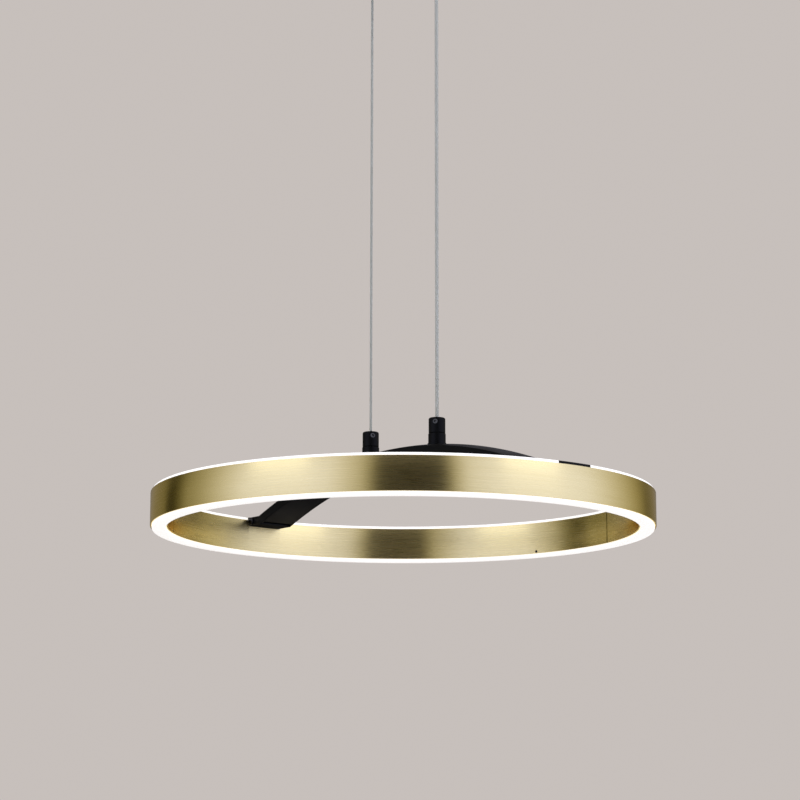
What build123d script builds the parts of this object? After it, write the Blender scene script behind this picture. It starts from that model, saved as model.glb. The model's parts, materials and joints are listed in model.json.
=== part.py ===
from build123d import *
import math
import os

# Ring pendant light: a brass-tone ring, lit above and below, carried by an arched bridge.
# It hangs on a steel wire and a power cable from a round ceiling canopy.
# Millimetres, +Z up. The origin is the middle of the ceiling face, and the bridge runs along X.

# Ring
drop = 515.0                    # ceiling face to the ring's lower rim
ring_diameter = 400.0
profile_width = 14.0
profile_height = 26.0
profile_wall = 1.2
web_thickness = 1.6
seam_angle = 75.8
seam_gap = 0.3
joiner_thickness = 0.8
joiner_half_length = 18.0
joiner_margin = 1.5             # joiner plate to the channel walls
joiner_fit = 0.1
rivet_radius = 1.2
rivet_offset = 10.0             # along the ring, from the seam
rivet_fit = 0.05

# Diffusers
diffuser_proud = 2.3            # beyond the rims
diffuser_depth = 5.0            # of the legs in the channel
diffuser_wall = 1.5
diffuser_corner = 0.9
diffuser_fit = 0.2              # to the channel walls
grub_radius = 1.1
grub_height = 1.5               # above the lower rim
grub_count = 3
grub_angle = 102.9              # of the first one
grub_bite = 1.0                 # into the diffuser's leg
grub_fit = 0.1

# Light strips
board_thickness = 1.0
board_margin = 0.6              # to the channel walls
led_length = 3.5
led_width = 2.8
led_height = 0.7
lower_led_count = 96
upper_led_count = 44            # on each half of the upper channel
upper_led_end_angle = 6.5       # bridge line to the last LED's middle

# Bridge
bridge_width = 32.0
bridge_side = 7.0               # height of the side faces
bridge_crown = 2.5              # rise of the rounded top over its edges
crown_strips = 9                # narrow strips that make up the rounded top
bridge_rise = 33.7              # side edges at mid-span above the flat ends
bridge_wall = 1.4
end_length = 15.0               # of each flat end, inside the ring
end_proud = 2.2                 # flat ends above the ring's upper rim
end_gap = 1.0                   # flat ends to the ring's inner wall
cover_thickness = 1.0
cover_fit = 0.3
cover_end_gap = 0.6
cover_screw_x = 100.0
cover_screw_y = 9.0
post_radius = 3.0

# Feet
foot_gap = 0.6                  # notch, strips and diffusers to the foot
foot_channel_fit = 0.4
prong_inner = 4.0               # half of the free slot between the two prongs
prong_length = 12.0
prong_fit = 0.15
foot_slot_depth = 8.0           # of the lead slot into the foot
tunnel_width = 3.2
tunnel_height = 2.8
foot_screw_y = 9.0
foot_screw_edge = 3.6           # from the foot's outer face
side_screw_inset = 4.0          # from the ring's inner wall
side_screw_length = 8.0

# Small machine screws of the lamp
screw_radius = 1.45
screw_head_radius = 2.7
screw_fit = 0.05                # in a thread
screw_clearance = 0.25          # in a plain hole
button_head_radius = 3.0
button_head_height = 1.6
button_head_round = 0.96

# Wires
wire_radius = 1.0
cable_radius = 1.4
wire_fit = 0.25
lead_radius = 0.6
lead_pitch = 1.5
lead_lift = 0.9                 # of a lead over the bridge cover
lead_web_hole = 0.9
lead_stations = (75.0, 108.0, 140.0)    # along the arch, from its middle
lead_arch_bends = [80.0, 80.0, 60.0, 25.0]
lead_foot_bend = 2.0
mains_lead_radius = 1.1
mains_lead_bend = 5.0
driver_lead_reach = 6.0         # straight run of a lead out of the driver
tail_bends = [5.0, 3.5]         # of the cable's tail in the canopy
tail_turn_y = -6.0              # where the cable's tail turns to the driver

# Terminals on the bridge
terminal_x = 41.5               # from the middle of the bridge
terminal_base_radius = 6.9
terminal_base_height = 7.8
terminal_cap_radius = 6.6
terminal_cap_height = 12.5
terminal_cap_round = 1.3
terminal_edge = 0.45            # chamfers that make the groove between base and cap
terminal_pad_margin = 0.5
terminal_pad_lip = 0.3          # of the pad's flat faces clear of the curved shell
stem_radius = 5.0
stem_fit = 0.15
stem_end = 0.4                  # of the stem past its nut
nut_thickness = 2.2
nut_width = 14.0                # across flats
spigot_radius = 4.4
spigot_length = 3.5
ferrule_radius = 2.4
ferrule_length = 4.0
set_screw_radius = 1.9
set_screw_drop = 3.5            # below the cap's top
set_screw_recess = 0.5
set_screw_socket = 2.0          # across flats
set_screw_socket_depth = 1.6
left_set_screw_angle = -22.6
right_set_screw_angle = -53.6

# Canopy
canopy_diameter = 140.0
canopy_height = 28.0
canopy_wall = 1.2
canopy_corner = 4.0
canopy_shadow_gap = 0.5         # rim to the ceiling
bracket_width = 22.0
bracket_thickness = 1.5
bracket_fit = 0.3               # ears to the canopy
ear_width = 16.0
ear_length = 16.0
slot_spacing = 70.0
slot_length = 12.0              # between the centres of its ends
slot_radius = 2.25
thumb_radius = 4.5
thumb_length = 5.0
thumb_shank_radius = 2.0
thumb_shank_length = 6.0
thumb_height = 9.0              # below the ceiling
thumb_slot = 1.0
thumb_slot_depth = 1.2
thumb_fit = 0.2

# Driver and terminal block in the canopy
driver_length = 80.0
driver_width = 36.0
driver_height = 19.0
driver_wall = 1.6
driver_lid_thickness = 1.6
driver_clearance = 1.5          # corners to the canopy wall
driver_pad_thickness = 1.0
driver_pad_margin = 8.0
driver_lead_height = 6.5        # leads below the driver's lid
driver_lead_fit = 0.3
mains_lead_insets = (16.0, 10.0)        # from the driver's left end
output_lead_inset = 12.0        # from the driver's right end
board_lift = 3.0                # driver board above the housing floor
driver_board_thickness = 1.6
driver_board_fit = 0.4
transformer_size = (18.0, 16.0, 9.0)
capacitor_radius = 4.0
capacitor_height = 8.5
choke_radius = 5.0
choke_height = 6.0
component_spread = 22.0         # between the driver's components
block_length = 20.0
block_width = 24.0
block_height = 14.0
block_edge = 4.0                # from the middle of the bracket
block_hole_radius = 1.6
block_hole_height = 8.5         # below the bracket
block_screw_radius = 1.4
block_screw_recess = 1.5
block_screw_inset = 6.0

# Wire grippers under the canopy
gripper_radius = 6.5
stud_flange = 3.0
stud_radius = 4.0
stud_fit = 0.2
stud_end = 2.3                  # of the stud past its nut
stud_nut_thickness = 4.0
stud_nut_width = 13.0
plug_radius = 4.3               # of the stud's plug in the cup
plug_length = 3.0
cup_height = 21.0
cup_floor = 3.0
chamber_radius = 4.5
chamber_fit = 0.1
nozzle_radius = 3.0
nozzle_fit = 0.08
nozzle_proud = 4.0
nozzle_flange = 1.5
nozzle_flange_fit = 0.3
nozzle_seat_gap = 0.1
nozzle_nose_fit = 0.25
nozzle_travel = 2.5
nozzle_throat = 2.0             # depth of the flared mouth
nozzle_flare = 0.9
seat_height = 6.0
seat_gap = 0.3                  # above the pressed nozzle's flange
seat_mouth_radius = 2.95
seat_angle = 10.0
wire_ball_radius = 1.15
cable_ball_radius = 1.0
ball_gap = 0.05
ball_count = 3
spring_radius = 2.5
spring_wire_radius = 0.3
spring_turns = 5
spring_gap = 0.15               # to the balls and the plug
tail_rise = 8.0                 # wire above its stud
stop_radius = 2.0
stop_length = 6.0

# Levels and radii that follow from the sizes above
rim_low = -drop
rim_high = rim_low + profile_height
web_low = rim_low + (profile_height - web_thickness) / 2
web_high = web_low + web_thickness
outer_r = ring_diameter / 2
inner_r = outer_r - profile_width
channel_out = outer_r - profile_wall
channel_in = inner_r + profile_wall
channel_mid = (channel_out + channel_in) / 2
end_top = rim_high + end_proud
end_low = end_top - bridge_side
end_x = inner_r - end_gap
kink_x = inner_r - end_length
arch_radius = (kink_x**2 + bridge_rise**2) / (2 * bridge_rise)
arch_centre = end_top + bridge_rise - arch_radius
crown_radius = ((bridge_width / 2) ** 2 + bridge_crown**2) / (2 * bridge_crown)
foot_half = bridge_width / 2
foot_out = channel_out - foot_channel_fit
foot_screw_x = foot_out - foot_screw_edge
tunnel_x = channel_in + foot_channel_fit + tunnel_width / 2
end_mid = (end_low + end_top) / 2
canopy_low = -canopy_height
canopy_floor = canopy_low + canopy_wall
canopy_inner = canopy_diameter / 2 - canopy_wall
stud_low = canopy_low - stud_flange
plug_low = stud_low - plug_length
cup_low = stud_low - cup_height
cup_deck = cup_low + cup_floor
nozzle_low = cup_low - nozzle_proud
throat_z = nozzle_low + nozzle_throat
nozzle_deck = cup_deck + nozzle_seat_gap + nozzle_flange
seat_low = nozzle_deck + nozzle_travel + seat_gap
stud_top = canopy_floor + stud_nut_thickness + stud_end
tail_top = stud_top + tail_rise

BASE = (Align.CENTER, Align.CENTER, Align.MIN)
SEAM_TURN = 37.0
SIDES = {"left": -1, "right": 1}
GRIPPED = {"left": (wire_radius, wire_ball_radius), "right": (cable_radius, cable_ball_radius)}


def arch_z(x, offset):
    """Height of the arc that lies offset above the bridge's side edges."""
    return arch_centre + math.sqrt((arch_radius + offset) ** 2 - x**2)


pad_radius = terminal_base_radius + terminal_pad_margin
pad_top = arch_z(terminal_x - pad_radius, bridge_crown) + terminal_pad_lip
pad_fall = pad_radius**2 / (2 * (crown_radius - bridge_wall)) + terminal_pad_lip
pad_low = arch_z(terminal_x + pad_radius, bridge_crown - bridge_wall) - pad_fall
stem_low = pad_low - nut_thickness - stem_end
base_top = pad_top + terminal_base_height
cap_top = base_top + terminal_cap_height
ferrule_top = base_top - spigot_length


def rod(radius, low, high, x=0.0, y=0.0):
    """Upright cylinder, turned so that its seam line stays off the model's planes of symmetry."""
    return Pos(x, y, low) * Rot(0, 0, SEAM_TURN) * Cylinder(radius, high - low, align=BASE)


def tube(outer, inner, low, high, x=0.0, y=0.0):
    return rod(outer, low, high, x, y) - rod(inner, low, high, x, y)


def taper(low_radius, high_radius, low, high, x=0.0, y=0.0):
    return Pos(x, y, low) * Cone(low_radius, high_radius, high - low, align=BASE)


def block(x0, x1, y0, y1, z0, z1):
    return Pos((x0 + x1) / 2, (y0 + y1) / 2, (z0 + z1) / 2) * Box(x1 - x0, y1 - y0, z1 - z0)


def hexagon(width, low, high, x=0.0, y=0.0):
    return Pos(x, y, low) * extrude(RegularPolygon(width / 2, 6, major_radius=False), high - low)


def spun(points, round_points=(), radius=0.0):
    """Solid of revolution about Z from (radius, height) points, with some corners rounded."""
    face = make_face(Polyline(*points, close=True))
    corners = [v for v in face.vertices() if any(math.dist((v.X, v.Y), p) < 1e-4 for p in round_points)]
    if corners:
        face = fillet(corners, radius)
    return revolve(Plane.XZ * face, Axis.Z, 360)


def ring_band(low, high, inner, outer):
    return tube(outer, inner, low, high)


def around(shape, angle):
    return Rot(0, 0, angle) * shape


def cable(points, radius, bends):
    """Round cable along straight runs joined by tangent arcs."""
    path = FilletPolyline(*points, radius=bends)
    start = Plane(origin=path @ 0, z_dir=path % 0)
    return sweep(start * Circle(radius), path)


def group(shapes):
    return Compound(children=[solid for shape in shapes for solid in shape.solids()])


def save(name, shape):
    export_step(shape, f"parts/{name}.step")


# Ring


def notch(side):
    """Opening in the inner wall that a foot passes through."""
    half = foot_half + foot_gap
    near, far = inner_r - end_length, channel_in + foot_channel_fit
    return block(min(side * near, side * far), max(side * near, side * far), -half, half,
                 end_low - foot_gap, rim_high + end_proud)


def grub_places():
    return [grub_angle + 360 * i / grub_count for i in range(grub_count)]


def grub_rod(radius, low, high):
    """Rod from low to high along +X at the height of the diffuser's grub screws."""
    return Pos(low, 0, rim_low + grub_height) * Rot(0, 90, 0) * Cylinder(radius, high - low, align=BASE)


def rivet_spots():
    swing = math.degrees(rivet_offset / channel_mid)
    return [seam_angle - swing, seam_angle + swing]


def joiner_plate(grow):
    """Plate in the web across the seam; grow widens it into its recess."""
    half = joiner_half_length + grow
    plate = ring_band(web_high - joiner_thickness, web_high,
                      channel_in + joiner_margin - grow, channel_out - joiner_margin + grow)
    window = block(inner_r, outer_r, -half, half, rim_low, rim_high)
    return around(plate & window, seam_angle)


def ring_profile():
    body = spun([
        (inner_r, rim_low), (channel_in, rim_low), (channel_in, web_low), (channel_out, web_low),
        (channel_out, rim_low), (outer_r, rim_low), (outer_r, rim_high), (channel_out, rim_high),
        (channel_out, web_high), (channel_in, web_high), (channel_in, rim_high), (inner_r, rim_high),
    ])
    seam = block(inner_r - profile_wall, outer_r + profile_wall, -seam_gap / 2, seam_gap / 2,
                 rim_low, rim_high)
    body -= around(seam, seam_angle)
    body -= joiner_plate(joiner_fit)
    for angle in rivet_spots():
        body -= around(rod(rivet_radius + rivet_fit, web_low, web_high, channel_mid), angle)
    thread = grub_rod(grub_radius + screw_fit, inner_r - profile_wall, channel_in + diffuser_fit / 2)
    for angle in grub_places():
        body -= around(thread, angle)
    for side in SIDES.values():
        body -= notch(side)
        for y in (-foot_screw_y, foot_screw_y):
            body -= rod(screw_radius + screw_fit, web_low, web_high, side * foot_screw_x, y)
    for y in (-lead_pitch / 2, lead_pitch / 2):
        body -= rod(lead_web_hole, web_low, web_high, tunnel_x, y)
    return body


def ring_joiner():
    plate = joiner_plate(0.0)
    for angle in rivet_spots():
        plate -= around(rod(rivet_radius + rivet_fit, web_low, web_high, channel_mid), angle)
    return plate


def joiner_rivets():
    rivet = rod(rivet_radius, web_low, web_high, channel_mid)
    return group([around(rivet, angle) for angle in rivet_spots()])


def diffuser(rim, outward):
    """Channel-section ring that closes a channel of the profile; outward is -1 below and +1 above."""
    left, right = channel_in + diffuser_fit, channel_out - diffuser_fit
    crown = rim + outward * diffuser_proud
    inside = crown - outward * diffuser_wall
    legs = rim - outward * diffuser_depth
    return spun([
        (left, legs), (left, crown), (right, crown), (right, legs), (right - diffuser_wall, legs),
        (right - diffuser_wall, inside), (left + diffuser_wall, inside), (left + diffuser_wall, legs),
    ], [(left, crown), (right, crown)], diffuser_corner)


def lower_diffuser():
    body = diffuser(rim_low, -1)
    bite = channel_in + diffuser_fit + grub_bite
    hole = grub_rod(grub_radius + grub_fit, inner_r, bite + grub_fit)
    for angle in grub_places():
        body -= around(hole, angle)
    return body


def diffuser_screws():
    screw = grub_rod(grub_radius, inner_r + grub_fit, channel_in + diffuser_fit + grub_bite)
    return group([around(screw, angle) for angle in grub_places()])


def halves(ring):
    """A ring of the upper channel, cut away at the feet, as its front and back arcs."""
    half = foot_half + foot_gap
    cut = ring - block(-ring_diameter, ring_diameter, -half, half, web_low, end_top + diffuser_proud)
    return cut.solids().sort_by(Axis.Y)


def led_board(low):
    return ring_band(low, low + board_thickness, channel_in + board_margin, channel_out - board_margin)


def led_at(angle, low):
    return around(Pos(channel_mid, 0, low + led_height / 2) * Box(led_width, led_length, led_height), angle)


def lower_leds():
    low = web_low - board_thickness - led_height
    return group([led_at(360 * i / lower_led_count, low) for i in range(lower_led_count)])


def upper_leds():
    low = web_high + board_thickness
    sweep_angle = 180 - 2 * upper_led_end_angle
    step = sweep_angle / (upper_led_count - 1)
    angles = [start + upper_led_end_angle + step * i for start in (0, 180) for i in range(upper_led_count)]
    return group([led_at(angle, low) for angle in angles])


# Bridge


def bridge_section(inset, low):
    """Flat-bottomed section with a rounded top, across the bridge at mid-span, inset from the outside."""
    half = bridge_width / 2 - inset
    radius = crown_radius - inset
    centre = end_top + bridge_rise + bridge_crown - crown_radius
    reach = math.asin(half / radius)
    angles = [reach * (1 - 2 * i / crown_strips) for i in range(crown_strips + 1)]
    crown = [(radius * math.sin(a), centre + radius * math.cos(a)) for a in angles]
    return Plane.YZ * make_face(Polyline(*crown, (-half, low), (half, low), close=True))


def arched(section):
    """A section revolved about the arch's axis, well past both ends of the arch."""
    swing = math.degrees(math.asin(kink_x / (arch_radius - bridge_side))) + 2
    axis = Axis((0, 0, arch_centre), (0, 1, 0))
    return revolve(section.rotate(axis, -swing), axis, 2 * swing)


def lean(shape, x):
    """A shape made at mid-span, turned about the arch's axis to stand square to the arch at x."""
    angle = math.degrees(math.asin(x / arch_radius))
    return Pos(0, 0, arch_centre) * Rot(0, angle, 0) * Pos(0, 0, -arch_centre) * shape


def span(half_length, low):
    return block(-half_length, half_length, -bridge_width, bridge_width, low, end_top + 2 * bridge_rise)


def cover_screw_places():
    return [(x, y) for x in (-cover_screw_x, cover_screw_x) for y in (-cover_screw_y, cover_screw_y)]


def mid_low():
    """Underside of the bridge at mid-span."""
    return end_top + bridge_rise - bridge_side


def bridge_outer():
    half = bridge_width / 2
    arch = arched(bridge_section(0.0, mid_low())) & span(kink_x, end_low)
    for side in SIDES.values():
        x0, x1 = sorted((side * (kink_x - bridge_wall), side * end_x))
        arch += block(x0, x1, -half, half, end_low, end_top)
    return arch


def bridge_hollow():
    """Space inside the shell, open below along the arch and outwards at both flat ends."""
    half = bridge_width / 2 - bridge_wall
    tunnel = arched(bridge_section(bridge_wall, mid_low() - bridge_side))
    hollow = tunnel & span(kink_x - bridge_wall, end_low + bridge_wall)
    hollow += tunnel & span(cover_end_x(), end_low - bridge_side)
    for side in SIDES.values():
        x0, x1 = sorted((side * (kink_x - bridge_side), side * end_x))
        hollow += block(x0, x1, -half, half, end_low + bridge_wall, end_top - bridge_wall)
    return hollow


def cover_end_x():
    """Where the open underside of the arch stops, short of the flat ends."""
    return math.sqrt((arch_radius - bridge_side) ** 2 - (end_low + bridge_wall - arch_centre) ** 2)


def bridge_shell():
    shell = bridge_outer() - bridge_hollow()
    for side in SIDES.values():
        x = side * terminal_x
        shell += rod(pad_radius, pad_low, pad_top, x)
        shell -= rod(stem_radius + stem_fit, pad_low - nut_thickness, pad_top + nut_thickness, x)
        for y in (-1, 1):
            hole = Pos(side * side_screw_x(), 0, end_mid) * Rot(-90 * y, 0, 0)
            shell -= hole * rod(screw_radius + screw_clearance, 0, bridge_width)
    deck = mid_low() + cover_thickness
    roof = arched(bridge_section(bridge_wall / 2, mid_low()))
    for x, y in cover_screw_places():
        shell += lean(rod(post_radius, deck, deck + bridge_side + bridge_crown, 0, y), x) & roof
        shell -= lean(rod(screw_radius + screw_fit, deck, mid_low() + bridge_side, 0, y), x)
    return shell


def bridge_cover():
    half = bridge_width / 2 - bridge_wall - cover_fit
    low = mid_low()
    plate = arched(Plane.YZ * Pos(0, low + cover_thickness / 2) * Rectangle(2 * half, cover_thickness))
    plate &= span(cover_end_x() - cover_end_gap, end_low)
    for x, y in cover_screw_places():
        plate -= lean(cover_screw(y, screw_clearance), x)
    return plate


def cover_screw(y, grow):
    """Countersunk screw up through the cover at mid-span; grow makes its hole."""
    low = mid_low()
    head = taper(screw_head_radius + grow, screw_radius + grow, low, low + cover_thickness, 0, y)
    return head + rod(screw_radius + grow, low + cover_thickness, low + bridge_side - bridge_wall, 0, y)


def bridge_cover_screws():
    return group([lean(cover_screw(y, 0.0), x) for x, y in cover_screw_places()])


# Feet


def side_screw_x():
    return inner_r - side_screw_inset


def foot(side):
    """Foot made at +X: a block in the upper channel with two prongs into the bridge's flat end."""
    body = ring_band(web_high, end_top, channel_in + foot_channel_fit, foot_out)
    body &= block(inner_r, outer_r, -foot_half, foot_half, web_high, end_top)
    body += block(end_x, channel_mid, -foot_half, foot_half, end_low, end_top)
    prong_half = bridge_width / 2 - bridge_wall - prong_fit
    prong_low, prong_high = end_low + bridge_wall + prong_fit, end_top - bridge_wall - prong_fit
    for y in (-1, 1):
        y0, y1 = sorted((y * prong_inner, y * prong_half))
        body += block(end_x - prong_length, end_x + bridge_wall, y0, y1, prong_low, prong_high)
        thread = Pos(side_screw_x(), 0, end_mid) * Rot(-90 * y, 0, 0)
        body -= thread * rod(screw_radius + screw_fit, prong_half - side_screw_length, bridge_width)
        body -= foot_screw(y * foot_screw_y, screw_clearance)
    slot_end = channel_in + foot_slot_depth
    body -= block(end_x - prong_length, slot_end, -prong_inner, prong_inner, web_high, end_top - bridge_wall)
    body -= block(tunnel_x - tunnel_width / 2, tunnel_x + tunnel_width / 2, -bridge_width, bridge_width,
                  web_high, web_high + tunnel_height)
    return around(body, 0 if side > 0 else 180)


def foot_screw(y, grow):
    """Countersunk screw down through a foot into the web; grow makes its hole."""
    head_depth = screw_head_radius - screw_radius
    head_low = end_top - head_depth
    head = taper(screw_radius + grow, screw_head_radius + grow, head_low, end_top, foot_screw_x, y)
    return head + rod(screw_radius + grow, web_low, head_low, foot_screw_x, y)


def foot_screws():
    pair = [foot_screw(-foot_screw_y, 0.0), foot_screw(foot_screw_y, 0.0)]
    return group([around(screw, angle) for angle in (0, 180) for screw in pair])


def side_screws():
    half = bridge_width / 2
    screw = rod(screw_radius, half - side_screw_length, half)
    head = rod(button_head_radius, half, half + button_head_height)
    head = fillet(head.faces().sort_by(Axis.Z)[-1].edges(), button_head_round)
    socket = hexagon(set_screw_socket, half + button_head_height / 2, half + button_head_height)
    screw = screw + head - socket
    return group([Pos(side * side_screw_x(), 0, end_mid) * Rot(-90 * y, 0, 0) * screw
                  for side in SIDES.values() for y in (-1, 1)])


# Terminals


def terminal_base(name):
    x = SIDES[name] * terminal_x
    core = GRIPPED[name][0] + wire_fit
    body = rod(terminal_base_radius, pad_top, base_top, x)
    body = chamfer(body.faces().sort_by(Axis.Z)[-1].edges(), terminal_edge)
    body += rod(stem_radius, stem_low, pad_top, x)
    body -= rod(spigot_radius + stem_fit, ferrule_top - ferrule_length, base_top, x)
    body -= rod(core, stem_low, base_top, x)
    return body


def terminal_cap(name):
    x = SIDES[name] * terminal_x
    body = rod(terminal_cap_radius, base_top, cap_top, x)
    body = chamfer(body.faces().sort_by(Axis.Z)[0].edges(), terminal_edge)
    body = fillet(body.faces().sort_by(Axis.Z)[-1].edges(), terminal_cap_round)
    body += rod(spigot_radius, ferrule_top, base_top, x)
    body -= rod(GRIPPED[name][0] + wire_fit, ferrule_top, cap_top, x)
    return body - set_screw_placed(name, rod(set_screw_radius + screw_fit, 0, terminal_cap_radius))


def set_screw_placed(name, shape):
    """A shape made along +Z, laid along the terminal's set screw."""
    angle = {"left": left_set_screw_angle, "right": right_set_screw_angle}[name]
    place = Pos(SIDES[name] * terminal_x, 0, cap_top - set_screw_drop)
    return place * Rot(0, 0, angle) * Rot(0, 90, 0) * shape


def terminal_set_screws():
    screws = []
    for name, (core, _) in GRIPPED.items():
        outer = terminal_cap_radius - set_screw_recess
        screw = rod(set_screw_radius, core + wire_fit, outer)
        screw -= hexagon(set_screw_socket, outer - set_screw_socket_depth, outer)
        screws.append(set_screw_placed(name, screw))
    return group(screws)


def terminal_nuts():
    return group([hexagon(nut_width, pad_low - nut_thickness, pad_low, side * terminal_x)
                  - rod(stem_radius + screw_fit, pad_low - nut_thickness, pad_low, side * terminal_x)
                  for side in SIDES.values()])


def wire_ferrule():
    low, high = ferrule_top - ferrule_length, ferrule_top - wire_fit
    return tube(ferrule_radius, wire_radius + screw_fit, low, high, -terminal_x)


# Wires


def suspension_wire():
    return rod(wire_radius, ferrule_top - ferrule_length, throat_z, -terminal_x)


def power_cable():
    return rod(cable_radius, stem_low, throat_z, terminal_x)


def lamp_leads():
    """Leads along the bridge from the cable's end: the inner two go to the lower strip."""
    height = cover_thickness - bridge_side + lead_lift + lead_radius
    board_top = web_high + board_thickness + lead_radius + screw_fit
    leads = []
    for y in (-1.5 * lead_pitch, -0.5 * lead_pitch, 0.5 * lead_pitch, 1.5 * lead_pitch):
        run = [(x, y, arch_z(x, height)) for x in (terminal_x, *lead_stations)]
        run += [(kink_x, y, end_mid), (tunnel_x, y, end_mid)]
        bends = [*lead_arch_bends, lead_foot_bend]
        if abs(y) < lead_pitch:
            run += [(tunnel_x, y, web_low + screw_fit)]
        else:
            run += [(tunnel_x, y, board_top)]
            run += [(tunnel_x, math.copysign(foot_half + led_length, y), board_top)]
            bends += [lead_foot_bend]
        leads.append(cable(run, lead_radius, bends))
    return group(leads)


# Canopy


def canopy_cover():
    outer, low, top = canopy_diameter / 2, canopy_low, -canopy_shadow_gap
    solid = spun([(0, low), (outer, low), (outer, top), (0, top)], [(outer, low)], canopy_corner)
    inner = spun([(0, canopy_floor), (canopy_inner, canopy_floor), (canopy_inner, top), (0, top)],
                 [(canopy_inner, canopy_floor)], canopy_corner - canopy_wall)
    body = solid - inner
    for side in SIDES.values():
        body -= rod(stud_radius + stud_fit, canopy_low, canopy_floor, side * terminal_x)
        body -= thumb_placed(side, rod(thumb_shank_radius + thumb_fit, 0, canopy_diameter))
    return body


def thumb_placed(side, shape):
    """A shape made along +Z, laid along the cover screw on the +Y or -Y side."""
    return Pos(0, 0, -thumb_height) * Rot(-90 * side, 0, 0) * shape


def ear_y():
    """Outer face of the bracket's ears, inside the canopy's round wall."""
    half = max(ear_width, bracket_width) / 2
    return math.sqrt(canopy_inner**2 - half**2) - bracket_fit


def ceiling_bracket():
    reach = ear_y()
    body = block(-bracket_width / 2, bracket_width / 2, -reach, reach, -bracket_thickness, 0)
    for side in SIDES.values():
        y0, y1 = sorted((side * (reach - bracket_thickness), side * reach))
        body += block(-ear_width / 2, ear_width / 2, y0, y1, -ear_length, 0)
        body -= thumb_placed(side, rod(thumb_shank_radius + screw_fit, 0, canopy_diameter))
        slot = Rot(0, 0, 90) * SlotCenterToCenter(slot_length, 2 * slot_radius)
        body -= Pos(0, side * slot_spacing / 2, -bracket_thickness) * extrude(slot, bracket_thickness)
    return body


def cover_screws():
    wall = canopy_diameter / 2
    screw = rod(thumb_radius, wall, wall + thumb_length)
    screw = chamfer(screw.faces().sort_by(Axis.Z)[-1].edges(), thumb_slot / 2)
    screw += rod(thumb_shank_radius, wall - thumb_shank_length, wall)
    top = wall + thumb_length
    screw -= block(-thumb_radius, thumb_radius, -thumb_slot / 2, thumb_slot / 2, top - thumb_slot_depth, top)
    return group([thumb_placed(side, screw) for side in SIDES.values()])


# Driver, on its pad on the canopy floor behind the wires

driver_back = -math.sqrt((canopy_inner - driver_clearance) ** 2 - (driver_length / 2) ** 2)
driver_front = driver_back + driver_width
driver_mid = (driver_back + driver_front) / 2
driver_low = canopy_floor + driver_pad_thickness
driver_top = driver_low + driver_height
driver_floor = driver_low + driver_wall
lead_z = driver_top - driver_lead_height
mains_x = [inset - driver_length / 2 for inset in mains_lead_insets]
output_x = driver_length / 2 - output_lead_inset


def driver_pad():
    half = driver_length / 2 - driver_pad_margin
    return block(-half, half, driver_back + driver_pad_margin, driver_front - driver_pad_margin,
                 canopy_floor, driver_low)


def driver_housing():
    half = driver_length / 2
    body = block(-half, half, driver_back, driver_front, driver_low, driver_top)
    back, front = driver_back + driver_wall, driver_front - driver_wall
    body -= block(-half + driver_wall, half - driver_wall, back, front, driver_floor, driver_top)
    for x in mains_x:
        body -= driver_hole(x, mains_lead_radius)
    return body - driver_hole(output_x, cable_radius)


def driver_hole(x, radius):
    hole = rod(radius + driver_lead_fit, -driver_wall, driver_wall)
    return Pos(x, driver_front, lead_z) * Rot(90, 0, 0) * hole


def driver_lid():
    half = driver_length / 2
    return block(-half, half, driver_back, driver_front, driver_top, driver_top + driver_lid_thickness)


def driver_board():
    """Circuit board on two rails, with a transformer, two capacitors and a choke."""
    half = driver_length / 2 - driver_wall - driver_board_fit
    back, front = driver_back + driver_wall + driver_board_fit, driver_front - driver_wall - driver_board_fit
    low = driver_floor + board_lift
    top = low + driver_board_thickness
    board = block(-half, half, back, front, low, top)
    for y0, y1 in ((back, back + driver_wall), (front - driver_wall, front)):
        board += block(-half, half, y0, y1, driver_floor, low)
    length, width, height = transformer_size
    board += block(-length / 2, length / 2, driver_mid - width / 2, driver_mid + width / 2, top, top + height)
    for x in (-component_spread, component_spread):
        board += rod(capacitor_radius, top, top + capacitor_height, x, back + 2 * capacitor_radius)
    return board + rod(choke_radius, top, top + choke_height, -component_spread, driver_mid + choke_radius)


def block_holes():
    """Heights and places of the two wire ways through the terminal block, along X."""
    quarter = block_length / 4
    return [block_edge + quarter, block_edge + 3 * quarter]


def terminal_block():
    top = -bracket_thickness
    half = block_width / 2
    body = block(-half, half, block_edge, block_edge + block_length, top - block_height, top)
    for y in block_holes():
        body -= Pos(0, y, top - block_hole_height) * Rot(0, 90, 0) * Cylinder(block_hole_radius, block_width)
        for x in (-block_screw_inset, block_screw_inset):
            body -= rod(block_screw_radius + screw_fit, top - block_height, top - block_hole_height, x, y)
    return body


def terminal_block_screws():
    low = -bracket_thickness - block_height + block_screw_recess
    high = -bracket_thickness - block_hole_height - block_hole_radius
    return group([rod(block_screw_radius, low, high, x, y)
                  for x in (-block_screw_inset, block_screw_inset) for y in block_holes()])


def mains_leads():
    """Two leads from the terminal block to the driver."""
    z = -bracket_thickness - block_hole_height
    end = driver_front - driver_wall
    start = -block_width / 2 + block_screw_inset / 2
    leads = []
    for x, y in zip(mains_x, block_holes()):
        points = [(start, y, z), (x, y, z), (x, driver_front + driver_lead_reach, lead_z), (x, end, lead_z)]
        leads.append(cable(points, mains_lead_radius, [mains_lead_bend, mains_lead_bend]))
    return group(leads)


# Grippers


def gripper_x(name):
    return SIDES[name] * terminal_x


def seat_radius(z):
    return seat_mouth_radius + (z - seat_low) * math.tan(math.radians(seat_angle))


def ball_ring(name):
    """Radius of the circle of a gripper's balls and the height at which they wedge in the seat."""
    core, ball = GRIPPED[name]
    radius = core + ball + ball_gap
    wall = radius + (ball + ball_gap) / math.cos(math.radians(seat_angle))
    return radius, seat_low + (wall - seat_mouth_radius) / math.tan(math.radians(seat_angle))


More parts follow.
